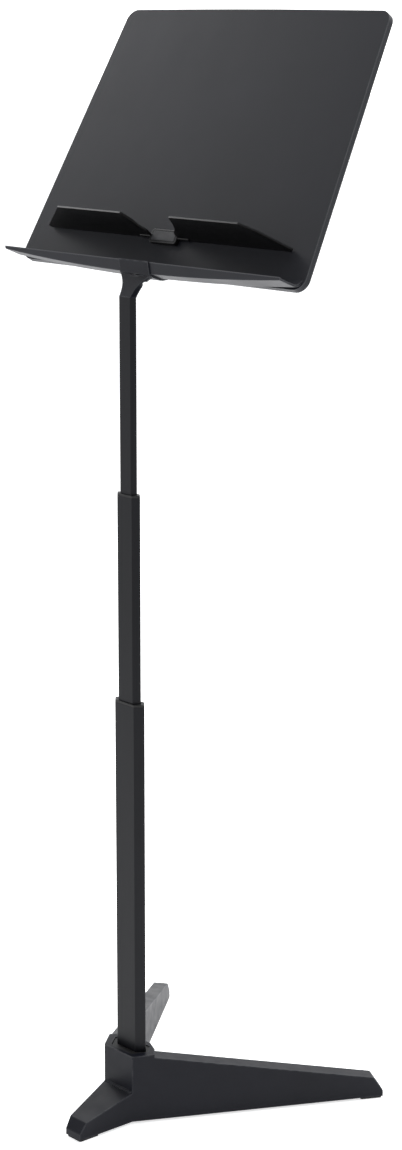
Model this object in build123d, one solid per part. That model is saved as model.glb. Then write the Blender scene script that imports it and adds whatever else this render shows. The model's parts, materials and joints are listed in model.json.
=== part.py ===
"""Height-adjustable orchestra music stand, one STEP file for each physical piece.

Millimetres, +Z up, the reader stands at -Y and +X is to the reader's right.  Pieces are drawn
round the column's axis, or in the desk's own axes, and export_piece moves them to the stand's frame:
origin on the floor, under the middle of the whole stand's box.
"""
import math
import os

from build123d import *

os.makedirs("parts", exist_ok=True)

# ---------------------------------------------------------------- driving dimensions, mm
RUN_GAP = 0.05            # radial clearance of a pin in its hole
SLIDE_GAP = 0.3           # clearance of a tube or shoe that slides

# base casting
HUB_TOP = 100.7
HUB_FRONT = -25.4         # the hub's front face
HUB_FRONT_HALF = 27.4
HUB_SIDE = 31.0           # length of the hub's side faces, along the rear legs
HUB_BACK = 21.0
HUB_BACK_HALF = 15.0
HUB_FLOOR = 22.0          # bottom of the column's socket
PAD_HEIGHT = 3.0
NOSE_HEIGHT = 12.0        # height of the blunt front of each foot

REAR_SPREAD = 33.8        # angle between a rear leg and straight back, degrees
REAR_LENGTH = 358.0
REAR_WIDTH = 21.5
REAR_ROOT_Z = 96.5
REAR_TIP_Z = 32.6
REAR_NOSE_RUN = 13.8

FRONT_REACH = 111.0
FRONT_ROOT_Z = 45.9
FRONT_TIP_Z = 26.0
FRONT_TIP_HALF = 14.0
FRONT_NOSE_RUN = 10.0
BEAD_R = 2.2              # bead in the corner between the hub and the front leg

COLLAR_DEPTH = 10.0
CASTING_WALL = 4.5
FOOT_SOLID = 48.0         # solid end of each rear leg, over its pad
PAD_LENGTH = 32.0
PAD_STUD_R = 4.0
PAD_STUD_H = 7.0
BOLT_R = 4.0              # bolt that holds the column to the base
BOLT_HEAD_R = 6.5
BOLT_SINK = 9.0           # the bolt's seat, above the pads

# column: three nested tubes of one long hexagonal section, given as
# (half of the front face, half of the depth, half of the width over the side edges)
OUTER_SECTION = (17.6, 10.0, 27.8)
MIDDLE_SECTION = (13.3, 7.6, 21.1)
INNER_SECTION = (9.7, 5.4, 15.5)
TUBE_WALL = 1.2
SECTION_ROUND = 1.6
OUTER_TOP = 595.0
MIDDLE_TOP = 875.0
INNER_TOP = 1131.0
MIDDLE_OVERLAP = 138.0
INNER_OVERLAP = 130.0
BUSH_DEPTH = 30.0
BUSH_FLANGE = 3.0
SHOE_HEAD = 26.0
SHOE_PLUG = 18.0
PLUG_HEIGHT = 24.0

# desk, in its own axes: X across, -Y out of the face, +Z up the face from its lower line
DESK_TILT = 29.8          # lean from upright, degrees
DESK_Y = 42.7
DESK_Z = 1153.0
DESK_BOTTOM_HALF = 252.5
DESK_TOP_HALF = 228.4
DESK_HEIGHT = 377.0
DESK_CORNER = 16.0
DESK_TOP_ARCH = 1.5
DESK_LOWER_EDGE = 4.5     # the flat desk ends here, behind the tray's bend
SKIN = 3.0
FLANGE_DEPTH = 8.4
FLANGE_WALL = 2.6
TRAY_BEND_OUT = 13.0      # centre of the bend between desk and tray, at mid-width
TRAY_BEND_UP = 10.5
TRAY_BEND_R = 16.0        # under side of the bend
TRAY_TURN = 82.0          # how far the bend turns, degrees
TRAY_WALL = 2.4
TRAY_STRIP_TOP = 34.0     # the tray's piece runs this far up behind the desk's face
TRAY_LIP_TIP = (38.8, 4.3)  # outer top edge of the lip, (out, up)
TRAY_LIP_SLOPE = 40.5     # the lip leans out this much from square to the tray, degrees
LIP_WALL = 2.8
TRAY_SAG = 10.0           # the tray's under side is this much lower at mid-width than at its ends
TRAY_HALF = 246.0
TRAY_SECTIONS = 17

# desk bracket and tilt hinge
BRACKET_HALF = 26.5
BRACKET_DROP = 9.7        # the bracket's flat under side, below the desk's lower line
BRACKET_WALL = 2.0
STRAP_WALL = 1.5
STRAP_SEAT = 0.25         # clearance between the strap and the tray
STRAP_LOW = -8.1          # where the strap's inner faces meet under the lip
STRAP_TOP = 8.5           # the strap ends this far up behind the desk
STRAP_TURN = 54.0         # how much of the bend the strap follows, degrees
STRAP_STEPS = 6
BACK_PLATE_HALF = 38.0
BACK_PLATE_LOW = 5.0
BACK_PLATE_TOP = 62.0
BACK_PLATE_ROUND = 8.0
BACK_PLATE_WALL = 2.5
BOSS_HEIGHT = 4.0
BOSS_R = 5.0
SCREW_R = 2.0
SCREW_HEAD_R = 4.0
SCREW_HEAD = 2.2
BOSS_X = 28.0
BOSS_ROWS = (14.0, 50.0)
HINGE_OUT = 22.8          # the hinge axis, out from the desk's face
HINGE_DROP = 11.4         # the hinge axis, below the bracket's under side
KNUCKLE_R = 4.6
KNUCKLE_HALF = 6.2
WEB_OUT = (18.2, 21.9)    # the knuckle's web, out from the desk's face
SLOT_HALF = 7.2
EAR_END = 9.6             # outer faces of the hinge ears
PIN_R = 2.2
PIN_HEAD_R = 4.0
PIN_HEAD = 1.6
PIN_POCKET_R = 4.9
NUT_R = 4.2
NUT_HEIGHT = 2.8
NECK_HALF = 26.0
NECK_FRONT_OUT = 28.6     # the neck's slanted top, out from the desk's face
NECK_BACK_OUT = 22.3
NECK_FLARE = 2.1          # power of the curve by which the neck widens
NECK_SECTIONS = 9
SPIGOT = 40.0
NECK_SCREW_Z = INNER_TOP - 10.0
NECK_SCREW_X = 5.0

# page retainers
BLOCK_HALF = 24.0
BLOCK_LOW = 44.0
BLOCK_HIGH = 63.0
BLOCK_DEPTH = 5.8
BLOCK_SCREW_X = 12.0
PIN_SOCKET = 6.0          # depth of a retainer pin in the block
BADGE_HALF = 20.0
BADGE_HEIGHT = 12.0
BADGE_WALL = 1.0
WING_AXIS_OUT = 3.1
WING_AXIS_UP = 53.7
WING_LIFT = 12.5          # slope of a retainer above square to the desk, degrees
WING_WALL = 2.4
WING_PIN_R = 1.4
WING_BOSS_R = 2.7
WING_BOSS_LENGTH = 19.0
WING_ROOT = 2.4           # the retainer's edge behind its hinge axis
WING_CREASE = 31.0
WING_DEPTH = 48.0
WING_BEND = 2.4           # how far the outer strip turns down at its edge
WING_GAP = 0.6

BRACKET_UNDERSIDE = -BRACKET_DROP
HINGE_UP = BRACKET_UNDERSIDE - HINGE_DROP
PLATE_BACK = SKIN + BOSS_HEIGHT + BACK_PLATE_WALL
OUTER_BOTTOM = HUB_FLOOR
MIDDLE_BOTTOM = OUTER_TOP - MIDDLE_OVERLAP
INNER_BOTTOM = MIDDLE_TOP - INNER_OVERLAP

SPREAD = math.radians(REAR_SPREAD)
REAR_REACH = HUB_FRONT + REAR_LENGTH * math.cos(SPREAD) + REAR_WIDTH * math.sin(SPREAD)
COLUMN_Y = (FRONT_REACH - REAR_REACH) / 2


# ---------------------------------------------------------------- helpers
def export_piece(name, shape):
    """Move a piece from the column's frame to the stand's frame and write it."""
    export_step(Pos(0, COLUMN_Y, 0) * shape, f"parts/{name}.step")
    print(f"{name}: {shape.volume / 1000:.1f} cm3")


def on_desk(shape):
    """Move a piece from the desk's axes to the column's frame."""
    return Pos(0, DESK_Y, DESK_Z) * Rot(-DESK_TILT, 0, 0) * shape


def desk_point(out, up):
    """The (y, z) in the column's frame of a place given out from the desk's face and up it."""
    tilt = math.radians(DESK_TILT)
    y = DESK_Y - out * math.cos(tilt) + up * math.sin(tilt)
    z = DESK_Z + out * math.sin(tilt) + up * math.cos(tilt)
    return y, z


def block(x_range, y_range, z_range):
    """A box between given limits."""
    size = [high - low for low, high in (x_range, y_range, z_range)]
    middle = [(high + low) / 2 for low, high in (x_range, y_range, z_range)]
    return Pos(*middle) * Box(*size)


def rod_x(radius, x_range, y, z):
    """A round bar along X."""
    low, high = x_range
    return Pos((low + high) / 2, y, z) * Rot(0, 90, 0) * Cylinder(radius, high - low)


def rod_y(radius, x, y_range, z):
    """A round bar along Y."""
    low, high = y_range
    return Pos(x, (low + high) / 2, z) * Rot(90, 0, 0) * Cylinder(radius, high - low)


def polygon(points, radius=0):
    """A flat face in the XY plane with all its corners rounded alike."""
    face = make_face(Polyline(*points, close=True))
    if radius:
        face = fillet(face.vertices(), radius)
    return face


def section(sizes, grow=0.0):
    """The column's hexagonal section, grown or shrunk evenly on all sides."""
    front, depth, width = sizes
    slope = math.atan2(depth, width - front)
    depth_new = depth + grow
    width_new = width + grow / math.sin(slope)
    front_new = width_new - depth_new / math.tan(slope)
    points = [(-front_new, -depth_new), (front_new, -depth_new), (width_new, 0),
              (front_new, depth_new), (-front_new, depth_new), (-width_new, 0)]
    return polygon(points, max(SECTION_ROUND + grow, 0.4))


def prism(sizes, z_range, grow=0.0):
    """A solid bar of the column's section."""
    low, high = z_range
    return Pos(0, 0, low) * extrude(section(sizes, grow), high - low)


def tube(sizes, z_range):
    """A hollow tube of the column's section."""
    low, high = z_range
    return prism(sizes, z_range) - prism(sizes, (low - 1, high + 1), -TUBE_WALL)


def side_profile(points, x_range, radius=0):
    """A solid whose outline is given as (y, z) points, between two X limits."""
    low, high = x_range
    return Pos(low, 0, 0) * extrude(Plane.YZ * polygon(points, radius), high - low)


# ---------------------------------------------------------------- base
def rear_leg_frame():
    """Where the right rear leg's own axes lie: X out along its outer face, Y inwards."""
    return Pos(HUB_FRONT_HALF, HUB_FRONT, 0) * Rot(0, 0, 90 - REAR_SPREAD)


def rear_leg_top(along):
    """Height of a rear leg's top edge at a distance along it."""
    slope = (REAR_TIP_Z - REAR_ROOT_Z) / (REAR_LENGTH - REAR_NOSE_RUN - HUB_SIDE)
    return REAR_ROOT_Z + slope * (along - HUB_SIDE)


def rear_leg():
    """The right rear leg, a tapered channel with a solid foot."""
    outline = [(0, PAD_HEIGHT), (REAR_LENGTH, PAD_HEIGHT), (REAR_LENGTH, NOSE_HEIGHT),
               (REAR_LENGTH - REAR_NOSE_RUN, REAR_TIP_Z), (HUB_SIDE, REAR_ROOT_Z), (0, REAR_ROOT_Z)]
    leg = extrude(Plane.XZ * polygon(outline), -REAR_WIDTH)
    tip_edges = leg.edges().filter_by(Axis.Y).group_by(Axis.X)[-1].sort_by(Axis.Z)[-1:]
    brow = leg.edges().filter_by(Axis.Y).filter_by_position(
        Axis.X, REAR_LENGTH - REAR_NOSE_RUN - 1, REAR_LENGTH - REAR_NOSE_RUN + 1)
    leg = fillet(tip_edges + brow, 4.0)
    first = 66.0
    last = REAR_LENGTH - FOOT_SOLID
    hollow = [(first, PAD_HEIGHT - 1), (last, PAD_HEIGHT - 1), (last, rear_leg_top(last) - CASTING_WALL),
              (first, rear_leg_top(first) - CASTING_WALL)]
    pocket = Pos(0, CASTING_WALL, 0) * extrude(Plane.XZ * polygon(hollow), 2 * CASTING_WALL - REAR_WIDTH)
    return rear_leg_frame() * (leg - pocket)


def front_leg():
    """The low front leg, tapering in plan and in height."""
    outline = [(0, PAD_HEIGHT), (-FRONT_REACH, PAD_HEIGHT), (-FRONT_REACH, NOSE_HEIGHT),
               (-FRONT_REACH + FRONT_NOSE_RUN, FRONT_TIP_Z), (HUB_FRONT, FRONT_ROOT_Z), (0, FRONT_ROOT_Z)]
    plan = [(-HUB_FRONT_HALF, HUB_FRONT), (-FRONT_TIP_HALF, -FRONT_REACH), (FRONT_TIP_HALF, -FRONT_REACH),
            (HUB_FRONT_HALF, HUB_FRONT), (HUB_FRONT_HALF, 0), (-HUB_FRONT_HALF, 0)]
    leg = side_profile(outline, (-HUB_FRONT_HALF, HUB_FRONT_HALF)) & extrude(polygon(plan), HUB_TOP)
    brow = leg.edges().filter_by(Axis.X).filter_by_position(Axis.Y, -FRONT_REACH - 1, -FRONT_REACH + 12)
    leg = fillet(brow.filter_by_position(Axis.Z, NOSE_HEIGHT - 1, FRONT_TIP_Z + 1), 3.5)
    hollow = [(-FRONT_REACH + 38, PAD_HEIGHT - 1), (HUB_FRONT + 2, PAD_HEIGHT - 1),
              (HUB_FRONT + 2, FRONT_ROOT_Z - 10), (-FRONT_REACH + 38, FRONT_TIP_Z - 3)]
    return leg - side_profile(hollow, (-13.0, 13.0))


def hub():
    """The upright block where the legs meet."""
    side_x = HUB_FRONT_HALF + HUB_SIDE * math.sin(SPREAD)
    side_y = HUB_FRONT + HUB_SIDE * math.cos(SPREAD)
    back_x = side_x - REAR_WIDTH * math.cos(SPREAD)
    half = [(HUB_FRONT_HALF, HUB_FRONT), (side_x, side_y), (back_x + 6, side_y + REAR_WIDTH * math.sin(SPREAD)),
            (HUB_BACK_HALF, HUB_BACK)]
    points = half + [(-x, y) for x, y in reversed(half)]
    body = Pos(0, 0, PAD_HEIGHT) * extrude(polygon(points, 2.0), HUB_TOP - PAD_HEIGHT)
    return body


def pad_places():
    """Each rubber pad's name, position frame and outline."""
    inset = 1.2
    rear_outline = [(REAR_LENGTH - PAD_LENGTH, inset), (REAR_LENGTH - inset, inset),
                    (REAR_LENGTH - inset, REAR_WIDTH - inset), (REAR_LENGTH - PAD_LENGTH, REAR_WIDTH - inset)]
    slope = (HUB_FRONT_HALF - FRONT_TIP_HALF) / (FRONT_REACH + HUB_FRONT)
    wide = FRONT_TIP_HALF + slope * PAD_LENGTH - inset
    front_outline = [(-wide, -FRONT_REACH + PAD_LENGTH), (-FRONT_TIP_HALF + inset, -FRONT_REACH + inset),
                     (FRONT_TIP_HALF - inset, -FRONT_REACH + inset), (wide, -FRONT_REACH + PAD_LENGTH)]
    stud = (REAR_LENGTH - PAD_LENGTH / 2, REAR_WIDTH / 2)
    return {"foot_pad_front": (front_outline, (0, -FRONT_REACH + PAD_LENGTH / 2)),
            "foot_pad_rear_right": (rear_outline, stud)}


def foot_pad(name, clearance=0.0):
    """A rubber pad with the stud that holds it in the casting."""
    outline, stud = pad_places()[name]
    pad = extrude(polygon(outline, 3.0), PAD_HEIGHT)
    pad += Pos(stud[0], stud[1], PAD_HEIGHT + PAD_STUD_H / 2) * Cylinder(PAD_STUD_R + clearance, PAD_STUD_H)
    if name == "foot_pad_front":
        return pad
    return rear_leg_frame() * pad


def mirrored(shape):
    """The same piece on the other side of the stand."""
    return mirror(shape, Plane.YZ)


def collar_outline(grow=0.0):
    """The collar that closes the hub round the column."""
    front, _, width = OUTER_SECTION
    half = [(front + 2.4, -19.4), (width + 4.4, 0), (front + 4.4, 13.4)]
    points = half + [(-x, y) for x, y in reversed(half)]
    return offset(polygon(points, 1.5), grow) if grow else polygon(points, 1.5)


def base_casting():
    """Hub and three legs in one casting, with the column's socket and the bolt's hole."""
    right = rear_leg()
    casting = hub() + right + mirrored(right) + front_leg()
    bead_half = HUB_FRONT_HALF - BEAD_R
    casting += rod_x(BEAD_R, (-bead_half, bead_half), HUB_FRONT, FRONT_ROOT_Z)
    casting -= prism(OUTER_SECTION, (HUB_FLOOR, HUB_TOP + 1), RUN_GAP)
    casting -= Pos(0, 0, HUB_TOP - COLLAR_DEPTH) * extrude(collar_outline(RUN_GAP), COLLAR_DEPTH + 1)
    casting -= Pos(0, 0, HUB_FLOOR / 2) * Cylinder(BOLT_R + 0.4, HUB_FLOOR + 2)
    casting -= Pos(0, 0, PAD_HEIGHT + BOLT_SINK - 5) * Cylinder(BOLT_HEAD_R + 1.5, 10)
    for name in pad_places():
        stud = foot_pad(name, RUN_GAP)
        casting -= stud
        casting -= mirrored(stud)
    return casting


def column_collar():
    """Black moulded ring between the column and the hub."""
    ring = Pos(0, 0, HUB_TOP - COLLAR_DEPTH) * extrude(collar_outline(), COLLAR_DEPTH - 1.4)
    return ring - prism(OUTER_SECTION, (0, HUB_TOP + 1), RUN_GAP)


def foot_plug():
    """Threaded plug in the lower end of the outer tube."""
    plug = prism(OUTER_SECTION, (OUTER_BOTTOM + 0.5, OUTER_BOTTOM + PLUG_HEIGHT), -TUBE_WALL - RUN_GAP)
    return plug - Pos(0, 0, OUTER_BOTTOM + PLUG_HEIGHT / 2) * Cylinder(BOLT_R + RUN_GAP, PLUG_HEIGHT + 2)


def column_bolt():
    """Bolt from under the hub into the plug, with its washer."""
    head_top = PAD_HEIGHT + BOLT_SINK - 1.6
    shank_top = OUTER_BOTTOM + PLUG_HEIGHT - 2
    bolt = Pos(0, 0, (head_top + shank_top) / 2) * Cylinder(BOLT_R, shank_top - head_top)
    bolt += Pos(0, 0, head_top - 2.6) * Cylinder(BOLT_HEAD_R - 0.6, 5.2)
    bolt -= Pos(0, 0, head_top - 4.6) * extrude(RegularPolygon(2.8, 6), 3)
    return bolt


def bolt_washer():
    """Plain washer under the column bolt's head."""
    top = PAD_HEIGHT + BOLT_SINK
    ring = Pos(0, 0, top - 0.8) * Cylinder(BOLT_HEAD_R + 1.0, 1.5)
    return ring - Pos(0, 0, top) * Cylinder(BOLT_R + 0.3, 6)


# ---------------------------------------------------------------- column
def glide_bush(tube_sizes, inner_sizes, top):
    """Moulded liner in the mouth of a tube, which guides the next one."""
    bush = prism(tube_sizes, (top - BUSH_DEPTH, top + 0.01), -TUBE_WALL - RUN_GAP)
    flange = Pos(0, 0, top) * extrude(section(tube_sizes, -0.2), BUSH_FLANGE)
    flange = fillet(flange.faces().sort_by(Axis.Z)[-1].edges(), 0.8)
    return bush + flange - prism(inner_sizes, (top - BUSH_DEPTH - 1, top + BUSH_FLANGE + 1), SLIDE_GAP)


def friction_shoe(outer_sizes, own_sizes, bottom):
    """Moulded shoe on the lower end of a sliding tube, with a pocket for its spring."""
    shoe = prism(outer_sizes, (bottom - SHOE_HEAD, bottom), -TUBE_WALL - SLIDE_GAP)
    shoe += prism(own_sizes, (bottom - 0.01, bottom + SHOE_PLUG), -TUBE_WALL - RUN_GAP)
    depth = outer_sizes[1] - TUBE_WALL - SLIDE_GAP
    pocket = block((-5.2, 5.2), (depth - 2.4, depth + 5), (bottom - SHOE_HEAD + 3, bottom - 3))
    return shoe - pocket


def friction_spring(outer_sizes, bottom):
    """Bowed leaf spring that presses the shoe against the tube's wall."""
    wall = 0.4
    out = outer_sizes[1] - TUBE_WALL - SLIDE_GAP + 0.15
    seat = out - 2.3
    low = bottom - SHOE_HEAD + 3.4
    high = bottom - 3.4
    middle = (low + high) / 2
    line = ThreePointArc((seat, low), (out - wall, middle), (seat, high))
    back = ThreePointArc((seat + wall, high), (out, middle), (seat + wall, low))
    face = make_face([line, Line(line @ 1, back @ 0), back, Line(back @ 1, line @ 0)])
    return Pos(-5, 0, 0) * extrude(Plane.YZ * face, 10)


# ---------------------------------------------------------------- neck and tilt hinge
HINGE_Y, HINGE_Z = desk_point(HINGE_OUT, HINGE_UP)


def neck_section(share):
    """One cross-section of the neck, from the tube's hexagon to the slanted top."""
    front, depth, width = INNER_SECTION
    top_up = BRACKET_UNDERSIDE - SLIDE_GAP
    front_y, front_z = desk_point(NECK_FRONT_OUT, top_up)
    back_y, back_z = desk_point(NECK_BACK_OUT, top_up)
    flare = share ** NECK_FLARE
    front_x = front + (NECK_HALF - front) * flare
    side_x = width + (NECK_HALF - width) * flare

    def between(low, high):
        return low + (high - low) * share

    rows = {"front": (between(-depth, front_y), between(INNER_TOP, front_z)),
            "side": (between(0, (front_y + back_y) / 2), between(INNER_TOP, (front_z + back_z) / 2)),
            "back": (between(depth, back_y), between(INNER_TOP, back_z))}
    points = [(-front_x, *rows["front"]), (front_x, *rows["front"]), (side_x, *rows["side"]),
              (front_x, *rows["back"]), (-front_x, *rows["back"]), (-side_x, *rows["side"])]
    return make_face(Polyline(*points, close=True))


def neck_casting():
    """Cast neck: a spigot in the inner tube, a flared body and two hinge ears."""
    neck = loft([neck_section(i / NECK_SECTIONS) for i in range(NECK_SECTIONS + 1)], ruled=True)
    neck += rod_x(KNUCKLE_R, (-EAR_END, EAR_END), HINGE_Y, HINGE_Z)
    top = on_desk(block((-60, 60), (-60, 60), (BRACKET_UNDERSIDE - SLIDE_GAP, 60)))
    slot = on_desk(block((-SLOT_HALF, SLOT_HALF), (-WEB_OUT[1] - SLIDE_GAP, 60), (HINGE_UP, 60)))
    slot += rod_x(KNUCKLE_R + SLIDE_GAP, (-SLOT_HALF, SLOT_HALF), HINGE_Y, HINGE_Z)
    slot += block((-SLOT_HALF, SLOT_HALF), (HINGE_Y, HINGE_Y + 60), (HINGE_Z - KNUCKLE_R - SLIDE_GAP, HINGE_Z + 60))
    for side in (-1, 1):
        low, high = sorted((side * EAR_END, side * 60))
        slot += rod_x(PIN_POCKET_R, (low, high), HINGE_Y, HINGE_Z)
    neck = neck - top - slot
    spigot = prism(INNER_SECTION, (INNER_TOP - SPIGOT, INNER_TOP + 0.01), -TUBE_WALL - RUN_GAP)
    for x in (-NECK_SCREW_X, NECK_SCREW_X):
        spigot -= rod_y(SCREW_R + RUN_GAP, x, (0.5, 20), NECK_SCREW_Z)
    neck += spigot
    return neck - rod_x(PIN_R + 0.02, (-60, 60), HINGE_Y, HINGE_Z)


def neck_screws():
    """Two screws through the back of the inner tube into the neck's spigot."""
    depth = INNER_SECTION[1]
    screws = []
    for x in (-NECK_SCREW_X, NECK_SCREW_X):
        screw = rod_y(SCREW_R, x, (1.0, depth), NECK_SCREW_Z)
        screw += rod_y(3.0, x, (depth, depth + 0.25), NECK_SCREW_Z)
        screws.append(screw)
    return Compound(screws)


def inner_tube():
    """Inner tube, with clearance holes for the neck's screws."""
    body = tube(INNER_SECTION, (INNER_BOTTOM, INNER_TOP))
    for x in (-NECK_SCREW_X, NECK_SCREW_X):
        body -= rod_y(SCREW_R + RUN_GAP, x, (0, 20), NECK_SCREW_Z)
    return body


def tilt_pin():
    """Hinge bolt with a low round head."""
    head = rod_x(PIN_HEAD_R, (EAR_END, EAR_END + PIN_HEAD), HINGE_Y, HINGE_Z)
    head = fillet(head.faces().sort_by(Axis.X)[-1].edges(), PIN_HEAD / 2)
    return rod_x(PIN_R, (-EAR_END - NUT_HEIGHT - 0.6, EAR_END), HINGE_Y, HINGE_Z) + head


def tilt_nut():
    """Lock nut on the hinge bolt."""
    turned = Pos(-EAR_END - NUT_HEIGHT, HINGE_Y, HINGE_Z) * Rot(0, 90, 0)
    nut = turned * extrude(RegularPolygon(NUT_R, 6), NUT_HEIGHT)
    return nut - rod_x(PIN_R + 0.02, (-60, 0), HINGE_Y, HINGE_Z)


def tilt_washers():
    """Friction washers between the knuckle and the ears."""
    washers = []
    for side in (-1, 1):
        low, high = sorted((side * (KNUCKLE_HALF + SLIDE_GAP), side * SLOT_HALF))
        washer = rod_x(KNUCKLE_R - 0.4, (low, high), HINGE_Y, HINGE_Z)
        washers.append(washer - rod_x(PIN_R + 0.02, (-60, 60), HINGE_Y, HINGE_Z))
    return Compound(washers)


# ---------------------------------------------------------------- desk
def desk_outline(inset=0.0):
    """The flat desk seen from the front: a trapezoid with round corners and a slightly arched top."""
    low = DESK_LOWER_EDGE
    top = ThreePointArc((DESK_TOP_HALF, DESK_HEIGHT), (0, DESK_HEIGHT + DESK_TOP_ARCH), (-DESK_TOP_HALF, DESK_HEIGHT))
    bottom = Line((-DESK_BOTTOM_HALF, low), (DESK_BOTTOM_HALF, low))
    face = make_face([bottom, Line(bottom @ 1, top @ 0), top, Line(top @ 1, bottom @ 0)])
    face = fillet(face.vertices(), DESK_CORNER)
    if inset:
        face = offset(face, -inset)
    return Plane.XZ * face


def crossing(first, second):
    """Where two lines cross, each given as a point and a direction."""
    (p, d), (q, e) = first, second
    share = ((q.X - p.X) * e.Y - (q.Y - p.Y) * e.X) / (d.X * e.Y - d.Y * e.X)
    return p + d * share


def tray_section(x):
    """Cross-section of strip, bend, tray and lip at one place along the tray."""
    rise = TRAY_SAG * (x / TRAY_HALF) ** 2
    centre = Vector(TRAY_BEND_OUT, TRAY_BEND_UP + rise)

    def bend(radius, turn):
        angle = math.radians(turn)
        return centre - Vector(radius * math.cos(angle), radius * math.sin(angle))

    turn, lean = math.radians(TRAY_TURN), math.radians(TRAY_LIP_SLOPE)
    inner_r = TRAY_BEND_R - SKIN
    along = Vector(math.sin(turn), -math.cos(turn))
    rising = Vector(math.sin(lean), math.cos(lean))
    under, upper = bend(TRAY_BEND_R, TRAY_TURN), bend(inner_r, TRAY_TURN)
    tip = Vector(*TRAY_LIP_TIP)
    inner_tip = tip - Vector(LIP_WALL / math.cos(lean), 0)
    heel = crossing((under, along), (tip, rising))
    lift = Vector(math.cos(turn), math.sin(turn)) * (TRAY_WALL - SKIN)
    floor = crossing((upper + lift, along), (inner_tip, rising))
    outline = [ThreePointArc(bend(TRAY_BEND_R, 0), bend(TRAY_BEND_R, TRAY_TURN / 2), under),
               Polyline(under, heel, tip, inner_tip, floor, upper),
               ThreePointArc(upper, bend(inner_r, TRAY_TURN / 2), bend(inner_r, 0)),
               Polyline(bend(inner_r, 0), (0, TRAY_STRIP_TOP), (-SKIN, TRAY_STRIP_TOP), bend(TRAY_BEND_R, 0))]
    plane = Plane(origin=(x, 0, 0), x_dir=(0, -1, 0), z_dir=(-1, 0, 0))
    return plane * make_face(outline)


def desk_tray():
    """Bend, tray and lip: straight top edge, and an under side that hangs lowest at mid-width."""
    step = 2 * TRAY_HALF / (TRAY_SECTIONS - 1)
    return loft([tray_section(-TRAY_HALF + step * i) for i in range(TRAY_SECTIONS)], ruled=True)


def desk_panel():
    """Moulded desk: skin, stiffening flange, tray and lip in one piece."""
    panel = extrude(desk_outline(), -SKIN)
    panel += extrude(desk_outline(), -FLANGE_DEPTH) - extrude(desk_outline(FLANGE_WALL), -FLANGE_DEPTH - 1)
    panel += desk_tray()
    panel -= block((-BACK_PLATE_HALF - 1, BACK_PLATE_HALF + 1), (SKIN, FLANGE_DEPTH + 1), (-20, 9))
    for x, z in boss_places():
        panel += rod_y(BOSS_R, x, (SKIN - 0.01, SKIN + BOSS_HEIGHT), z)
        panel -= rod_y(SCREW_R + RUN_GAP, x, (1.2, 20), z)
    for x in (-BLOCK_SCREW_X, BLOCK_SCREW_X):
        panel -= rod_y(SCREW_R + 0.3, x, (-1, 10), WING_AXIS_UP)
    return panel


def boss_places():
    """Where the bracket is screwed to the desk."""
    return [(x, z) for z in BOSS_ROWS for x in (-BOSS_X, BOSS_X)]


def bend_point(radius, turn):
    """The (y, z) on a curve round the tray's bend, at mid-width; the turn starts at the desk's back."""
    angle = math.radians(turn)
    return -TRAY_BEND_OUT + radius * math.cos(angle), TRAY_BEND_UP - radius * math.sin(angle)


def bracket_outline():
    """Side view of the strap that hugs the lip, the tray's under side and the bend."""
    lean = math.tan(math.radians(TRAY_LIP_SLOPE))
    reach = STRAP_WALL / math.cos(math.radians(TRAY_LIP_SLOPE))
    top_out, top_up = TRAY_LIP_TIP[0] + STRAP_SEAT, TRAY_LIP_TIP[1]
    low_out = top_out - (top_up - STRAP_LOW) * lean
    foot = low_out + reach - (STRAP_LOW - BRACKET_UNDERSIDE) * lean
    near = TRAY_BEND_R + STRAP_SEAT
    turns = [TRAY_TURN - STRAP_TURN * i / STRAP_STEPS for i in range(STRAP_STEPS + 1)]
    outline = [(-foot, BRACKET_UNDERSIDE), (-top_out - reach, top_up), (-top_out, top_up), (-low_out, STRAP_LOW)]
    outline += [bend_point(near, turn) for turn in turns]
    outline += [(SKIN + STRAP_SEAT, DESK_LOWER_EDGE - 0.5), (SKIN + STRAP_SEAT, STRAP_TOP), (PLATE_BACK, STRAP_TOP)]
    outline += [(PLATE_BACK, STRAP_TOP - 5)]
    outline += [bend_point(near + BRACKET_WALL, turn) for turn in reversed(turns[:4])]
    return outline + [(-WEB_OUT[1], BRACKET_UNDERSIDE)]


def desk_bracket():
    """Cast bracket: a strap round lip, tray and bend, a back plate and the hinge's knuckle."""
    strap = side_profile(bracket_outline(), (-BRACKET_HALF, BRACKET_HALF))
    plate = block((-BACK_PLATE_HALF, BACK_PLATE_HALF), (PLATE_BACK - BACK_PLATE_WALL, PLATE_BACK),
                  (BACK_PLATE_LOW, BACK_PLATE_TOP))
    plate = fillet(plate.edges().filter_by(Axis.Y).group_by(Axis.Z)[-1], BACK_PLATE_ROUND)
    web = block((-KNUCKLE_HALF, KNUCKLE_HALF), (-WEB_OUT[1], -WEB_OUT[0]), (HINGE_UP, BRACKET_UNDERSIDE + 1.2))
    knuckle = rod_x(KNUCKLE_R, (-KNUCKLE_HALF, KNUCKLE_HALF), -HINGE_OUT, HINGE_UP)
    bracket = strap + plate + web + knuckle
    bracket -= rod_x(PIN_R + RUN_GAP, (-60, 60), -HINGE_OUT, HINGE_UP)
    for x, z in boss_places():
        bracket -= rod_y(SCREW_R + RUN_GAP, x, (0, 20), z)
    return on_desk(bracket)


def desk_screws():
    """Four screws from the back plate into the desk's bosses."""
    screws = []
    for x, z in boss_places():
        head = rod_y(SCREW_HEAD_R, x, (PLATE_BACK, PLATE_BACK + SCREW_HEAD), z)
        head = fillet(head.faces().sort_by(Axis.Y)[-1].edges(), 1.0)
        slot = Pos(x, PLATE_BACK + SCREW_HEAD - 0.6, z) * (Box(4.4, 1.6, 0.9) + Box(0.9, 1.6, 4.4))
        screws.append(rod_y(SCREW_R, x, (1.5, PLATE_BACK + 0.01), z) + head - slot)
    return Compound([on_desk(screw) for screw in screws])


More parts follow.
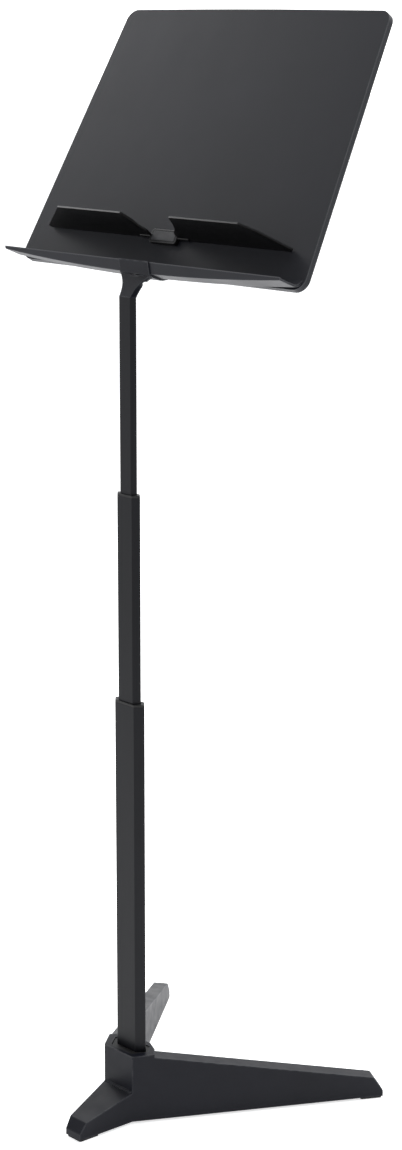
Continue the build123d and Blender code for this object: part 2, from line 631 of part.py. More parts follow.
# ---------------------------------------------------------------- page retainers
def retainer_block():
    """Hinge block on the desk's face, with a seat for the badge and a bore at each end."""
    body = block((-BLOCK_HALF, BLOCK_HALF), (-BLOCK_DEPTH, 0), (BLOCK_LOW, BLOCK_HIGH))
    body = fillet(body.edges().filter_by(Axis.Y), 4.0)
    body = fillet(body.faces().sort_by(Axis.Y)[0].edges(), 1.2)
    middle = (BLOCK_LOW + BLOCK_HIGH) / 2
    body -= block((-BADGE_HALF - 0.1, BADGE_HALF + 0.1), (-BLOCK_DEPTH - 1, -BLOCK_DEPTH + 0.6),
                  (middle - BADGE_HEIGHT / 2 - 0.1, middle + BADGE_HEIGHT / 2 + 0.1))
    for side in (-1, 1):
        low, high = sorted((side * (BLOCK_HALF - PIN_SOCKET), side * (BLOCK_HALF + 1)))
        body -= rod_x(WING_PIN_R + 0.02, (low, high), -WING_AXIS_OUT, WING_AXIS_UP)
    for x in (-BLOCK_SCREW_X, BLOCK_SCREW_X):
        body -= rod_y(SCREW_R + RUN_GAP, x, (-3.4, 1), WING_AXIS_UP)
    return on_desk(body)


def badge_plate():
    """Blank plate let into the block."""
    middle = (BLOCK_LOW + BLOCK_HIGH) / 2
    plate = block((-BADGE_HALF, BADGE_HALF), (-BLOCK_DEPTH + 0.6 - BADGE_WALL, -BLOCK_DEPTH + 0.6),
                  (middle - BADGE_HEIGHT / 2, middle + BADGE_HEIGHT / 2))
    plate = fillet(plate.edges().filter_by(Axis.Y), 1.5)
    return on_desk(plate)


def block_screws():
    """Two screws from behind the desk's skin into the hinge block."""
    screws = []
    for x in (-BLOCK_SCREW_X, BLOCK_SCREW_X):
        head = rod_y(SCREW_HEAD_R - 0.4, x, (SKIN, SKIN + SCREW_HEAD), WING_AXIS_UP)
        head = fillet(head.faces().sort_by(Axis.Y)[-1].edges(), 0.8)
        screws.append(rod_y(SCREW_R, x, (-3.0, SKIN + 0.01), WING_AXIS_UP) + head)
    return Compound([on_desk(screw) for screw in screws])


def wing_frame():
    """Where a retainer's own axes lie on the desk: X across, -Y out, Z over its face."""
    return Pos(0, -WING_AXIS_OUT, WING_AXIS_UP) * Rot(-WING_LIFT, 0, 0)


def retainer_wing():
    """Right page retainer: a creased plate on a boss that turns on the hinge pin."""
    half = WING_WALL / 2
    inner = BLOCK_HALF + WING_GAP
    rise = [(WING_ROOT, half), (-WING_CREASE, half), (-WING_DEPTH, half - WING_BEND),
            (-WING_DEPTH, -half - WING_BEND), (-WING_CREASE, -half), (WING_ROOT, -half)]
    slab = side_profile(rise, (inner, 230))
    root = WING_ROOT
    plan = [(inner, root), (213, root), (219, root - 3), (161, -WING_DEPTH), (43, -WING_DEPTH),
            (inner + 9, -21.5), (inner, -11.5)]
    shape = slab & (Pos(0, 0, -20) * extrude(polygon(plan, 2.2), 40))
    boss = rod_x(WING_BOSS_R, (inner, inner + WING_BOSS_LENGTH), 0, 0)
    boss = fillet(boss.faces().sort_by(Axis.X)[-1].edges(), 1.0)
    shape = shape + boss - rod_x(WING_PIN_R + RUN_GAP, (0, inner + WING_BOSS_LENGTH - 3), 0, 0)
    return wing_frame() * shape


def retainer_pin():
    """Right retainer's hinge pin, fast in the block."""
    length = (BLOCK_HALF - PIN_SOCKET + 0.3, BLOCK_HALF + WING_GAP + WING_BOSS_LENGTH - 3.4)
    return rod_x(WING_PIN_R, length, -WING_AXIS_OUT, WING_AXIS_UP)


# ---------------------------------------------------------------- write every piece
def main():
    """Build each piece and write it."""
    right_pad = foot_pad("foot_pad_rear_right")
    wing = on_desk(retainer_wing())
    pin = on_desk(retainer_pin())
    pieces = {
        "base_casting": base_casting(),
        "foot_pad_front": foot_pad("foot_pad_front"),
        "foot_pad_rear_right": right_pad,
        "foot_pad_rear_left": mirrored(right_pad),
        "column_collar": column_collar(),
        "column_foot_plug": foot_plug(),
        "column_bolt": column_bolt(),
        "column_bolt_washer": bolt_washer(),
        "outer_tube": tube(OUTER_SECTION, (OUTER_BOTTOM, OUTER_TOP)),
        "outer_glide_bush": glide_bush(OUTER_SECTION, MIDDLE_SECTION, OUTER_TOP),
        "middle_tube": tube(MIDDLE_SECTION, (MIDDLE_BOTTOM, MIDDLE_TOP)),
        "middle_glide_bush": glide_bush(MIDDLE_SECTION, INNER_SECTION, MIDDLE_TOP),
        "middle_friction_shoe": friction_shoe(OUTER_SECTION, MIDDLE_SECTION, MIDDLE_BOTTOM),
        "middle_friction_spring": friction_spring(OUTER_SECTION, MIDDLE_BOTTOM),
        "inner_tube": inner_tube(),
        "inner_friction_shoe": friction_shoe(MIDDLE_SECTION, INNER_SECTION, INNER_BOTTOM),
        "inner_friction_spring": friction_spring(MIDDLE_SECTION, INNER_BOTTOM),
        "neck_casting": neck_casting(),
        "neck_screws": neck_screws(),
        "tilt_pin": tilt_pin(),
        "tilt_nut": tilt_nut(),
        "tilt_washers": tilt_washers(),
        "desk_panel": on_desk(desk_panel()),
        "desk_bracket": desk_bracket(),
        "desk_screws": desk_screws(),
        "retainer_block": retainer_block(),
        "badge_plate": badge_plate(),
        "block_screws": block_screws(),
        "retainer_right": wing,
        "retainer_left": mirrored(wing),
        "retainer_pin_right": pin,
        "retainer_pin_left": mirrored(pin),
    }
    for name, shape in pieces.items():
        export_piece(name, shape)
    pivot = (HINGE_Y + COLUMN_Y, HINGE_Z)
    wing_y, wing_z = desk_point(WING_AXIS_OUT, WING_AXIS_UP)
    print("column_y", COLUMN_Y, "tilt axis", pivot, "wing axis", (wing_y + COLUMN_Y, wing_z))


main()
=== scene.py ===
"""Looks of a height-adjustable orchestra music stand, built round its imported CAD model.

Metres, +Z up, the reader stands at -Y and +X is to the reader's right.  Each sub-assembly is a
class that softens its cast, drawn or moulded edges and gives each piece its finish.
"""
import json
import logging
import math
from dataclasses import dataclass, field
from enum import Enum
from typing import Any, Dict, List, Optional, Sequence, Tuple

import bpy
from mathutils import Matrix, Vector

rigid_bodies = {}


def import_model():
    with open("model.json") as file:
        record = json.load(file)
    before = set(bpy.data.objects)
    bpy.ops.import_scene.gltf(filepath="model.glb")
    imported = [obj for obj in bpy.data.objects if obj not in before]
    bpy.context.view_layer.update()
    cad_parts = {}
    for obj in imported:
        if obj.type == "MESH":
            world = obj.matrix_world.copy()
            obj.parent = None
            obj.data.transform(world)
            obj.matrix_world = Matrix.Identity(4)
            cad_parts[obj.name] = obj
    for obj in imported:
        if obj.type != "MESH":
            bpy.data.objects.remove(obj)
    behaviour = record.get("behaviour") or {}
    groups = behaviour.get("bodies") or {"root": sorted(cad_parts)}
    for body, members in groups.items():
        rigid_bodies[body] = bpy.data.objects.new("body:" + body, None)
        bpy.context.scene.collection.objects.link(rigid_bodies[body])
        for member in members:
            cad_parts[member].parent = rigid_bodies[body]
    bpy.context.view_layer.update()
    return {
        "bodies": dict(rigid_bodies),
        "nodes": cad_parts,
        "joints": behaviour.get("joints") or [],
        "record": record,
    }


LOG = logging.getLogger("music_stand")
Colour = Tuple[float, float, float]
MM = 0.001


# ---------------------------------------------------------------- shader building blocks
class Shader:
    """A material under construction: one Principled shader and the nodes that feed it."""

    def __init__(self, name: str) -> None:
        """Start an empty material.

        Args:
            name: the material's name.
        """
        self.material = bpy.data.materials.new(name)
        self.material.use_nodes = True
        self.tree = self.material.node_tree
        self.tree.nodes.clear()
        self.output = self.tree.nodes.new("ShaderNodeOutputMaterial")
        self.surface = self.tree.nodes.new("ShaderNodeBsdfPrincipled")
        self.tree.links.new(self.surface.outputs["BSDF"], self.output.inputs["Surface"])
        self.coordinates = self.tree.nodes.new("ShaderNodeTexCoord").outputs["Object"]

    def value(self, socket: str, amount: float) -> None:
        """Set one number that is the same all over the surface.

        Args:
            socket: name of the shader's socket.
            amount: its value.
        """
        self.surface.inputs[socket].default_value = amount

    def link(self, source: Any, target: Any) -> None:
        """Join two sockets."""
        self.tree.links.new(source, target)

    def stretched(self, scale: Sequence[float], turn: Sequence[float] = (0.0, 0.0, 0.0)) -> Any:
        """The object's coordinates, stretched along its axes.

        Args:
            scale: factor on each axis.
            turn: rotation about each axis, radians.

        Returns:
            The vector socket.
        """
        node = self.tree.nodes.new("ShaderNodeMapping")
        node.inputs["Rotation"].default_value = turn
        node.inputs["Scale"].default_value = scale
        self.link(self.coordinates, node.inputs["Vector"])
        return node.outputs["Vector"]

    def noise(self, scale: float, detail: float = 2.0, vector: Optional[Any] = None) -> Any:
        """A soft random pattern.

        Args:
            scale: how many cells lie in one metre.
            detail: number of finer layers.
            vector: where to read it, or the plain coordinates.

        Returns:
            The pattern's value socket, from 0 to 1.
        """
        node = self.tree.nodes.new("ShaderNodeTexNoise")
        node.inputs["Scale"].default_value = scale
        node.inputs["Detail"].default_value = detail
        self.link(vector or self.coordinates, node.inputs["Vector"])
        return node.outputs["Fac"]

    def cells(self, scale: float, vector: Optional[Any] = None) -> Any:
        """A pattern of small round cells, as a spark-eroded mould leaves.

        Args:
            scale: how many cells lie in one metre.
            vector: where to read it, or the plain coordinates.

        Returns:
            The distance socket.
        """
        node = self.tree.nodes.new("ShaderNodeTexVoronoi")
        node.feature = "SMOOTH_F1"
        node.inputs["Scale"].default_value = scale
        self.link(vector or self.coordinates, node.inputs["Vector"])
        return node.outputs["Distance"]

    def remap(self, source: Any, low: float, high: float, start: float = 0.0, end: float = 1.0) -> Any:
        """Bring a pattern to another range.

        Args:
            source: the value socket.
            low: result at start.
            high: result at end.
            start: lower value read.
            end: upper value read.

        Returns:
            The new value socket.
        """
        node = self.tree.nodes.new("ShaderNodeMapRange")
        node.inputs["From Min"].default_value = start
        node.inputs["From Max"].default_value = end
        node.inputs["To Min"].default_value = low
        node.inputs["To Max"].default_value = high
        self.link(source, node.inputs["Value"])
        return node.outputs["Result"]

    def mixed(self, amount: Any, first: Any, second: Any) -> Any:
        """Two colours put together.

        Args:
            amount: value socket, or a number, for the share of the second.
            first: colour socket or plain colour.
            second: colour socket or plain colour.

        Returns:
            The colour socket.
        """
        node = self.tree.nodes.new("ShaderNodeMix")
        node.data_type = "RGBA"
        for socket, source in ((node.inputs[0], amount), (node.inputs[6], first), (node.inputs[7], second)):
            if isinstance(source, bpy.types.NodeSocket):
                self.link(source, socket)
            elif isinstance(source, (int, float)):
                socket.default_value = source
            else:
                socket.default_value = (*source, 1.0)
        return node.outputs[2]

    def edges(self, radius: float, start: float = 0.004, end: float = 0.06) -> Any:
        """Where the surface turns sharply: a coat is rubbed thin there on a casting, and the desk gets a
        painted highlight there.

        Args:
            radius: how far the turn is looked for, metres.
            start: turn that counts as none.
            end: turn that counts as full.

        Returns:
            A value socket, 1 on an edge and 0 on a flat.
        """
        rounded = self.tree.nodes.new("ShaderNodeBevel")
        rounded.samples = 6
        rounded.inputs["Radius"].default_value = radius
        geometry = self.tree.nodes.new("ShaderNodeNewGeometry")
        dot = self.tree.nodes.new("ShaderNodeVectorMath")
        dot.operation = "DOT_PRODUCT"
        self.link(rounded.outputs["Normal"], dot.inputs[0])
        self.link(geometry.outputs["Normal"], dot.inputs[1])
        return self.remap(dot.outputs["Value"], 1.0, 0.0, 1.0 - end, 1.0 - start)

    def bump(self, height: Any, strength: float, distance: float, below: Optional[Any] = None) -> Any:
        """Relief from a pattern.

        Args:
            height: value socket.
            strength: share of the relief that is felt.
            distance: its real height, metres.
            below: a normal to build on.

        Returns:
            The normal socket.
        """
        node = self.tree.nodes.new("ShaderNodeBump")
        node.inputs["Strength"].default_value = strength
        node.inputs["Distance"].default_value = distance
        self.link(height, node.inputs["Height"])
        if below is not None:
            self.link(below, node.inputs["Normal"])
        return node.outputs["Normal"]

    def finish(self, colour: Any, roughness: Any, normal: Any) -> bpy.types.Material:
        """Feed the shader.

        Args:
            colour: colour socket.
            roughness: value socket.
            normal: normal socket.

        Returns:
            The finished material.
        """
        self.link(colour, self.surface.inputs["Base Color"])
        self.link(roughness, self.surface.inputs["Roughness"])
        self.link(normal, self.surface.inputs["Normal"])
        return self.material


# ---------------------------------------------------------------- finishes
@dataclass(frozen=True)
class PowderCoat:
    """Satin black powder coat on a casting: a fine orange peel, fine light specks, thin edges."""

    name: str = "cast_powder_coat"
    colour: Colour = (0.0042, 0.0046, 0.0078)
    thin: Colour = (0.075, 0.078, 0.085)
    rough: Tuple[float, float] = (0.36, 0.46)
    peel: float = 900.0
    peel_height: float = 0.1 * MM
    edge_reach: float = 3.4 * MM
    specular: float = 0.15

    def material(self) -> bpy.types.Material:
        """Build the coat.

        Returns:
            The material.
        """
        shader = Shader(self.name)
        shader.value("Specular IOR Level", self.specular)
        cloud = shader.noise(9.0, 3.0)
        speck = shader.noise(2600.0, 1.0)
        light = tuple(c * 1.35 for c in self.colour)
        colour = shader.mixed(shader.remap(cloud, 0.0, 1.0, 0.35, 0.65), self.colour, light)
        colour = shader.mixed(shader.remap(speck, 0.0, 0.10, 0.62, 0.75), colour, self.thin)
        worn = shader.noise(120.0, 4.0)
        colour = shader.mixed(self._thin_edges(shader, worn), colour, self.thin)
        roughness = shader.remap(shader.noise(60.0, 5.0), self.rough[0], self.rough[1], 0.3, 0.7)
        peel = shader.bump(shader.noise(self.peel, 2.0), 0.35, self.peel_height)
        return shader.finish(colour, roughness, peel)

    def _thin_edges(self, shader: Shader, worn: Any) -> Any:
        """Share of the thin coat: on edges, and there only in places.

        Args:
            shader: the material under construction.
            worn: a patchy pattern.

        Returns:
            The value socket.
        """
        node = shader.tree.nodes.new("ShaderNodeMath")
        node.operation = "MULTIPLY"
        shader.link(shader.edges(self.edge_reach), node.inputs[0])
        shader.link(shader.remap(worn, 0.1, 0.55, 0.35, 0.7), node.inputs[1])
        return node.outputs["Value"]


@dataclass(frozen=True)
class DrawnTube:
    """Satin black coat on a drawn tube: faint lines along its length."""

    name: str = "tube_satin_coat"
    colour: Colour = (0.0052, 0.0054, 0.0070)
    rough: Tuple[float, float] = (0.34, 0.44)
    specular: float = 0.17

    def material(self) -> bpy.types.Material:
        """Build the coat.

        Returns:
            The material.
        """
        shader = Shader(self.name)
        shader.value("Specular IOR Level", self.specular)
        along = shader.stretched((1.0, 1.0, 0.012))
        lines = shader.noise(1500.0, 3.0, along)
        cloud = shader.noise(14.0, 3.0, shader.stretched((1.0, 1.0, 0.25)))
        light = tuple(c * 1.4 for c in self.colour)
        colour = shader.mixed(shader.remap(cloud, 0.0, 1.0, 0.3, 0.7), self.colour, light)
        colour = shader.mixed(shader.remap(lines, 0.0, 0.3, 0.5, 0.8), colour, light)
        roughness = shader.remap(lines, self.rough[0], self.rough[1], 0.25, 0.75)
        grain = shader.bump(shader.noise(2200.0, 1.0), 0.12, 0.00005)
        relief = shader.bump(lines, 0.10, 0.00005, grain)
        return shader.finish(colour, roughness, relief)


@dataclass(frozen=True)
class GrainedMoulding:
    """Black moulded plastic with the fine matt grain of an eroded mould, and a painted highlight along its
    edges.
    """

    name: str = "desk_grain"
    colour: Colour = (0.0058, 0.0062, 0.0092)
    painted_edge_highlight: Colour = (0.080, 0.082, 0.088)
    rough: Tuple[float, float] = (0.42, 0.48)
    grain: float = 1100.0
    grain_height: float = 0.1 * MM
    edge_reach: float = 2.2 * MM
    specular: float = 0.22

    def material(self) -> bpy.types.Material:
        """Build the plastic.

        Returns:
            The material.
        """
        shader = Shader(self.name)
        shader.value("Specular IOR Level", self.specular)
        cloud = shader.noise(5.0, 4.0)
        light = tuple(c * 1.45 for c in self.colour)
        colour = shader.mixed(shader.remap(cloud, 0.0, 1.0, 0.35, 0.65), self.colour, light)
        grain = shader.cells(self.grain)
        colour = shader.mixed(shader.remap(grain, 0.0, 0.4, 0.2, 0.9), colour, light)
        # painted highlight: a lighter colour on the sharp edges stands in for the light that the rounded rims
        # catch
        painted_highlight_share = shader.remap(shader.edges(self.edge_reach), 0.0, 0.6)
        colour = shader.mixed(painted_highlight_share, colour, self.painted_edge_highlight)
        handled = shader.noise(22.0, 5.0, shader.stretched((1.0, 1.0, 0.6)))
        roughness = shader.remap(handled, self.rough[0], self.rough[1], 0.3, 0.7)
        fine = shader.bump(grain, 0.30, self.grain_height)
        soft = shader.bump(shader.noise(30.0, 2.0), 0.02, 0.0002, fine)
        return shader.finish(colour, roughness, soft)


@dataclass(frozen=True)
class SmoothMoulding:
    """Smooth black moulded plastic with faint flow marks and fine scratches."""

    name: str = "smooth_moulding"
    colour: Colour = (0.0030, 0.0030, 0.0033)
    rough: Tuple[float, float] = (0.30, 0.40)
    specular: float = 0.3

    def material(self) -> bpy.types.Material:
        """Build the plastic.

        Returns:
            The material.
        """
        shader = Shader(self.name)
        shader.value("Specular IOR Level", self.specular)
        flow = shader.noise(25.0, 3.0, shader.stretched((0.4, 1.0, 1.0)))
        light = tuple(c * 1.6 for c in self.colour)
        colour = shader.mixed(shader.remap(flow, 0.0, 1.0, 0.3, 0.7), self.colour, light)
        scratch = shader.noise(700.0, 2.0, shader.stretched((0.03, 1.0, 1.0), (0.0, 0.3, 0.5)))
        roughness = shader.remap(scratch, self.rough[0], self.rough[1], 0.3, 0.8)
        relief = shader.bump(shader.noise(1800.0, 1.0), 0.08, 0.00004)
        return shader.finish(colour, roughness, relief)


@dataclass(frozen=True)
class MattMoulding:
    """Matt moulded plastic or rubber, with a granular skin."""

    name: str = "matt_moulding"
    colour: Colour = (0.012, 0.012, 0.012)
    rough: Tuple[float, float] = (0.6, 0.75)
    grain: float = 1600.0
    relief: float = 0.3
    specular: float = 0.35

    def material(self) -> bpy.types.Material:
        """Build the plastic.

        Returns:
            The material.
        """
        shader = Shader(self.name)
        shader.value("Specular IOR Level", self.specular)
        dust = shader.noise(80.0, 5.0)
        light = tuple(min(1.0, c * 1.8 + 0.004) for c in self.colour)
        colour = shader.mixed(shader.remap(dust, 0.0, 0.8, 0.4, 0.75), self.colour, light)
        roughness = shader.remap(dust, self.rough[0], self.rough[1], 0.3, 0.7)
        grain = shader.bump(shader.noise(self.grain, 2.0), self.relief, 0.0001)
        return shader.finish(colour, roughness, grain)


@dataclass(frozen=True)
class Steel:
    """Plated, blackened or spring steel, with turning marks and a slight tarnish."""

    name: str = "zinc_plated_steel"
    colour: Colour = (0.52, 0.53, 0.55)
    dull: Colour = (0.30, 0.30, 0.30)
    rough: Tuple[float, float] = (0.28, 0.42)
    metallic: float = 1.0
    marks: float = 2400.0

    def material(self) -> bpy.types.Material:
        """Build the metal.

        Returns:
            The material.
        """
        shader = Shader(self.name)
        shader.value("Metallic", self.metallic)
        tarnish = shader.noise(160.0, 5.0)
        colour = shader.mixed(shader.remap(tarnish, 0.0, 0.7, 0.45, 0.75), self.colour, self.dull)
        marks = shader.noise(self.marks, 1.0, shader.stretched((0.1, 1.0, 1.0)))
        roughness = shader.remap(marks, self.rough[0], self.rough[1], 0.3, 0.7)
        relief = shader.bump(marks, 0.15, 0.00004)
        return shader.finish(colour, roughness, relief)


class Slot(Enum):
    """The record's material slots."""

    CAST = "cast_black"
    TUBE = "tube_black"
    DESK = "desk_moulding"
    RETAINER = "retainer_moulding"
    MOULDING = "black_moulding"
    GLIDE = "glide_moulding"
    BADGE = "badge"
    RUBBER = "rubber"
    ZINC = "zinc_steel"
    BLACK_STEEL = "black_steel"
    SPRING = "spring_steel"


def finishes() -> Dict[Slot, bpy.types.Material]:
    """Build every finish once.

    Returns:
        The material of each slot.
    """
    made = {
        Slot.CAST: PowderCoat(),
        Slot.TUBE: DrawnTube(),
        Slot.DESK: GrainedMoulding(),
        Slot.RETAINER: SmoothMoulding("retainer_plastic"),
        Slot.MOULDING: MattMoulding("black_fitting_plastic", (0.008, 0.008, 0.008), (0.5, 0.62)),
        Slot.GLIDE: MattMoulding("grey_glide_plastic", (0.13, 0.13, 0.13), (0.45, 0.6), 1200.0, 0.15),
        Slot.BADGE: MattMoulding("badge_plate_satin", (0.020, 0.020, 0.022), (0.34, 0.46), 1500.0, 0.2, 0.35),
        Slot.RUBBER: MattMoulding("pad_rubber", (0.010, 0.010, 0.010), (0.7, 0.88), 2200.0, 0.5),
        Slot.ZINC: Steel(),
        Slot.BLACK_STEEL: Steel(
            "blackened_steel", (0.030, 0.030, 0.032), (0.014, 0.014, 0.014), (0.36, 0.5), 0.6
        ),
        Slot.SPRING: Steel("spring_steel_strip", (0.36, 0.36, 0.38), (0.2, 0.2, 0.2), (0.25, 0.4)),
    }
    return {slot: kind.material() for slot, kind in made.items()}


# ---------------------------------------------------------------- sub-assemblies
@dataclass
class Softening:
    """How far the sharp edges of a piece are rounded."""

    width: float
    segments: int = 3
    angle: float = 28.0


@dataclass
class SubAssembly:
    """A group of pieces on one or more CAD bodies."""

    frame: Dict[str, Any]
    palette: Dict[Slot, bpy.types.Material]
    made: List[str] = field(default_factory=list)

    def dress(self, node: str, slot: Slot, soft: Optional[Softening] = None) -> bpy.types.Object:
        """Give a CAD piece its finish, and round its edges.

        Args:
            node: the CAD node's name.
            slot: its material slot.
            soft: how its edges are rounded, or None to leave them.

        Returns:
            The node's object.
        """
        piece = self.frame["nodes"][node]
        if not piece.material_slots:
            piece.data.materials.append(None)
        for place in piece.material_slots:
            place.material = self.palette[slot]
        if soft is not None:
            self.soften(piece, soft)
        self.report(piece, slot)
        return piece

    def soften(self, piece: bpy.types.Object, soft: Softening) -> None:
        """Round a piece's sharp edges with modifiers.

        Args:
            piece: the object.
            soft: how far.
        """
        weld = piece.modifiers.new("joined_faces", "WELD")
        weld.merge_threshold = 0.01 * MM
        flat = piece.modifiers.new("whole_flats", "DECIMATE")
        flat.decimate_type = "DISSOLVE"
        flat.angle_limit = math.radians(0.3)
        round_off = piece.modifiers.new("soft_edges", "BEVEL")
        round_off.width = soft.width
        round_off.segments = soft.segments
        round_off.limit_method = "ANGLE"
        round_off.angle_limit = math.radians(soft.angle)
        round_off.use_clamp_overlap = True
        normals = piece.modifiers.new("even_shading", "WEIGHTED_NORMAL")
        normals.keep_sharp = False
        normals.weight = 60

    def report(self, piece: bpy.types.Object, slot: Slot) -> None:
        """Log one piece.

        Args:
            piece: the object.
            slot: its material slot.
        """
        self.made.append(piece.name)
        LOG.info("%s: %s, finish %s", type(self).__name__, piece.name, slot.value)


@dataclass
class Foot(SubAssembly):
    """Cast foot with its pads, the column's collar, plug and bolt."""

    cast_round: float = 2.4 * MM
    pad_round: float = 0.5 * MM
    collar_round: float = 0.6 * MM
    bolt_round: float = 0.3 * MM
    washer_round: float = 0.2 * MM

    def build(self) -> None:
        """Dress the foot."""
        self.dress("base_casting", Slot.CAST, Softening(self.cast_round, 4))
        for pad in ("foot_pad_front", "foot_pad_rear_right", "foot_pad_rear_left"):
            self.dress(pad, Slot.RUBBER, Softening(self.pad_round, 2))
        self.dress("column_collar", Slot.MOULDING, Softening(self.collar_round, 2))
        self.dress("column_foot_plug", Slot.MOULDING)
        self.dress("column_bolt", Slot.ZINC, Softening(self.bolt_round, 2))
        self.dress("column_bolt_washer", Slot.ZINC, Softening(self.washer_round, 2))


@dataclass
class Column(SubAssembly):
    """Three nested tubes with their bushes, shoes and leaf springs."""

    tube_round: float = 0.35 * MM
    bush_round: float = 0.5 * MM

    def build(self) -> None:
        """Dress the column."""
        for tube in ("outer_tube", "middle_tube", "inner_tube"):
            self.dress(tube, Slot.TUBE, Softening(self.tube_round, 2, 40.0))
        for bush in ("outer_glide_bush", "middle_glide_bush"):
            self.dress(bush, Slot.MOULDING, Softening(self.bush_round, 2, 40.0))
        for shoe in ("middle_friction_shoe", "inner_friction_shoe"):
            self.dress(shoe, Slot.GLIDE)
        for spring in ("middle_friction_spring", "inner_friction_spring"):
            self.dress(spring, Slot.SPRING)


@dataclass
class Neck(SubAssembly):
    """Flared neck casting with its screws and the tilt hinge."""

    cast_round: float = 1.0 * MM
    nut_round: float = 0.5 * MM

    def build(self) -> None:
        """Dress the neck."""
        self.dress("neck_casting", Slot.CAST, Softening(self.cast_round, 3))
        self.dress("neck_screws", Slot.BLACK_STEEL)
        self.dress("tilt_pin", Slot.BLACK_STEEL)
        self.dress("tilt_nut", Slot.BLACK_STEEL, Softening(self.nut_round, 2))
        self.dress("tilt_washers", Slot.ZINC)


@dataclass
class Desk(SubAssembly):
    """Moulded desk with its tray, the cast bracket and the screws."""

    edge_round: float = 1.1 * MM
    cast_round: float = 0.8 * MM

    def build(self) -> None:
        """Dress the desk."""
        self.dress("desk_panel", Slot.DESK, Softening(self.edge_round, 3, 35.0))
        self.dress("desk_bracket", Slot.CAST, Softening(self.cast_round, 2))
        self.dress("desk_screws", Slot.BLACK_STEEL)


@dataclass
class Retainers(SubAssembly):
    """Hinge block with its blank badge, and the two page retainers on their pins."""

    edge_round: float = 0.6 * MM
    badge_round: float = 0.3 * MM

    def build(self) -> None:
        """Dress the retainers."""
        self.dress("retainer_block", Slot.RETAINER, Softening(self.edge_round, 2))
        self.dress("badge_plate", Slot.BADGE, Softening(self.badge_round, 2))
        self.dress("block_screws", Slot.BLACK_STEEL)
        for side in ("right", "left"):
            self.dress(f"retainer_{side}", Slot.RETAINER, Softening(self.edge_round, 2))
            self.dress(f"retainer_pin_{side}", Slot.ZINC)


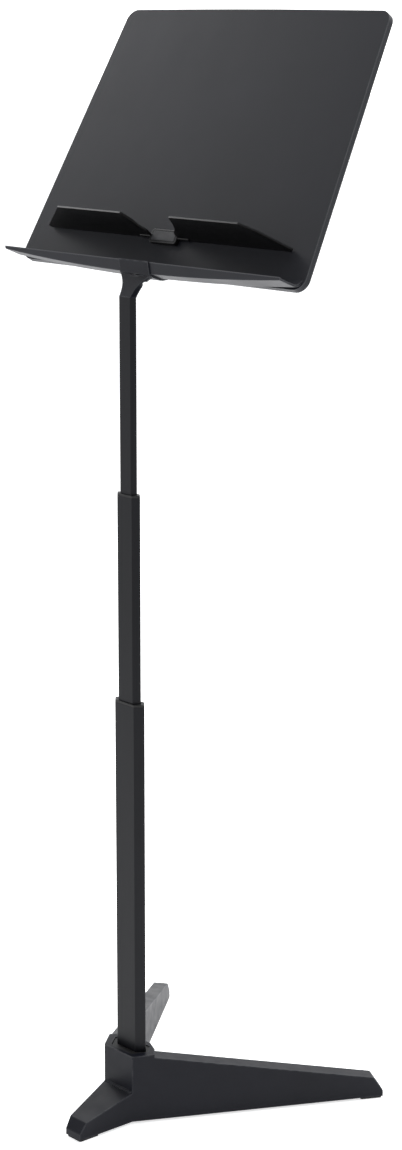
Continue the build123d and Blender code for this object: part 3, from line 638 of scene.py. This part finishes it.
# ---------------------------------------------------------------- studio
@dataclass
class Studio:
    """Pale floor, soft lights and the camera."""

    eye: Tuple[float, float, float] = (1.9378, -1.9580, 1.4769)
    azimuth: float = 44.01
    pitch: float = 14.71
    roll: float = 0.2
    lens: float = 67.06
    floor_size: float = 60.0
    floor_colour: Colour = (0.93, 0.93, 0.93)
    horizon_colour: Colour = (1.0, 1.0, 1.0)
    zenith_colour: Colour = (0.34, 0.35, 0.37)
    world_strength: float = 1.0
    sky_band: Tuple[float, float] = (0.08, 0.65)  # where the sky starts and ends dimming overhead
    room: Tuple[float, float, float] = (0.69, -0.72, 0.0)  # towards the dimmer side of the room
    room_band: Tuple[float, float] = (-0.9, 0.7)
    room_light: float = 0.66
    back_light: float = 2.2
    floor_glow: float = 0.66
    glow_fade: Tuple[float, float] = (0.5, 1.7)  # the glow fades over this way, metres
    sensor_width: float = 36.0

    def build(self) -> None:
        """Set up everything round the object."""
        self.floor()
        self.world()
        self.lights()
        self.camera()

    def floor(self) -> None:
        """A wide pale sheet with a very faint mottle and a glow that keeps it white."""
        half = self.floor_size / 2
        mesh = bpy.data.meshes.new("studio_floor")
        corners = [(-half, -half, 0.0), (half, -half, 0.0), (half, half, 0.0), (-half, half, 0.0)]
        mesh.from_pydata(corners, [], [(0, 1, 2, 3)])
        floor = bpy.data.objects.new("studio_floor", mesh)
        bpy.context.scene.collection.objects.link(floor)
        shader = Shader("studio_floor_paper")
        darker = tuple(c * 0.99 for c in self.floor_colour)
        colour = shader.mixed(shader.noise(3.0, 2.0), self.floor_colour, darker)
        roughness = shader.remap(shader.noise(8.0, 2.0), 0.7, 0.8)
        relief = shader.bump(shader.noise(300.0, 2.0), 0.02, 0.0001)
        shader.surface.inputs["Emission Color"].default_value = (1.0, 1.0, 1.0, 1.0)
        towards = self.along_room(shader.tree, shader.coordinates)
        glow = shader.remap(towards, self.floor_glow, self.floor_glow * self.room_light, *self.glow_fade)
        shader.link(glow, shader.surface.inputs["Emission Strength"])
        mesh.materials.append(shader.finish(colour, roughness, relief))

    def along_room(self, tree: bpy.types.NodeTree, place: Any) -> Any:
        """How far a place or a direction lies towards the dimmer side of the room.

        Args:
            tree: the node tree.
            place: vector socket.

        Returns:
            The value socket.
        """
        node = tree.nodes.new("ShaderNodeVectorMath")
        node.operation = "DOT_PRODUCT"
        node.inputs[1].default_value = self.room
        tree.links.new(place, node.inputs[0])
        return node.outputs["Value"]

    def world(self) -> None:
        """Surroundings that dim overhead and towards the room, shown with the plain view transform."""
        world = bpy.data.worlds.new("studio_surroundings")
        world.use_nodes = True
        tree = world.node_tree
        background = tree.nodes["Background"]
        place = tree.nodes.new("ShaderNodeTexCoord")
        split = tree.nodes.new("ShaderNodeSeparateXYZ")
        ramp = tree.nodes.new("ShaderNodeValToRGB")
        ramp.color_ramp.elements[0].position = self.sky_band[0]
        ramp.color_ramp.elements[0].color = (*self.horizon_colour, 1.0)
        ramp.color_ramp.elements[1].position = self.sky_band[1]
        ramp.color_ramp.elements[1].color = (*self.zenith_colour, 1.0)
        tree.links.new(place.outputs["Generated"], split.inputs["Vector"])
        tree.links.new(split.outputs["Z"], ramp.inputs["Fac"])
        tree.links.new(ramp.outputs["Color"], background.inputs["Color"])
        dim = tree.nodes.new("ShaderNodeMapRange")
        dim.inputs["From Min"].default_value = self.room_band[0]
        dim.inputs["From Max"].default_value = self.room_band[1]
        dim.inputs["To Min"].default_value = self.world_strength * self.back_light
        dim.inputs["To Max"].default_value = self.world_strength * self.room_light
        tree.links.new(self.along_room(tree, place.outputs["Generated"]), dim.inputs["Value"])
        tree.links.new(dim.outputs["Result"], background.inputs["Strength"])
        bpy.context.scene.world = world
        bpy.context.scene.view_settings.view_transform = "Standard"

    def light(
        self, name: str, place: Sequence[float], aim: Sequence[float], size: float, power: float
    ) -> None:
        """One soft square light.

        Args:
            name: its name.
            place: where it hangs, metres.
            aim: the point that it faces.
            size: its side, metres.
            power: its power, watts.
        """
        data = bpy.data.lights.new(name, "AREA")
        data.shape = "SQUARE"
        data.size = size
        data.energy = power
        lamp = bpy.data.objects.new(name, data)
        lamp.location = place
        direction = Vector(aim) - Vector(place)
        lamp.rotation_euler = direction.to_track_quat("-Z", "Y").to_euler()
        bpy.context.scene.collection.objects.link(lamp)

    def lights(self) -> None:
        """A big top light and a key from the left."""
        self.light("top_softbox", (0.3, 1.4, 3.4), (0.0, 0.0, 0.4), 2.6, 110.0)
        self.light("key_softbox", (-2.6, 0.2, 2.8), (0.0, 0.0, 0.9), 1.6, 45.0)

    def camera(self) -> None:
        """The camera, from its place and angles."""
        data = bpy.data.cameras.new("camera")
        data.lens = self.lens
        data.sensor_width = self.sensor_width
        camera = bpy.data.objects.new("camera", data)
        azimuth, pitch, roll = (math.radians(v) for v in (self.azimuth, self.pitch, self.roll))
        ahead = Vector((-math.sin(azimuth), math.cos(azimuth), 0.0))
        right = Vector((math.cos(azimuth), math.sin(azimuth), 0.0))
        up = Vector((0.0, 0.0, 1.0))
        forward = ahead * math.cos(pitch) - up * math.sin(pitch)
        level_up = ahead * math.sin(pitch) + up * math.cos(pitch)
        across = right * math.cos(roll) + level_up * math.sin(roll)
        above = level_up * math.cos(roll) - right * math.sin(roll)
        turn = Matrix((across, above, -forward)).transposed()
        camera.matrix_world = Matrix.Translation(self.eye) @ turn.to_4x4()
        bpy.context.scene.collection.objects.link(camera)
        bpy.context.scene.camera = camera


def main() -> None:
    """Build the looks in order."""
    logging.basicConfig(level=logging.INFO, format="%(name)s %(message)s")
    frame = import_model()
    palette = finishes()
    for kind in (Foot, Column, Neck, Desk, Retainers):
        kind(frame, palette).build()
    Studio().build()


if __name__ == "__main__":
    main()
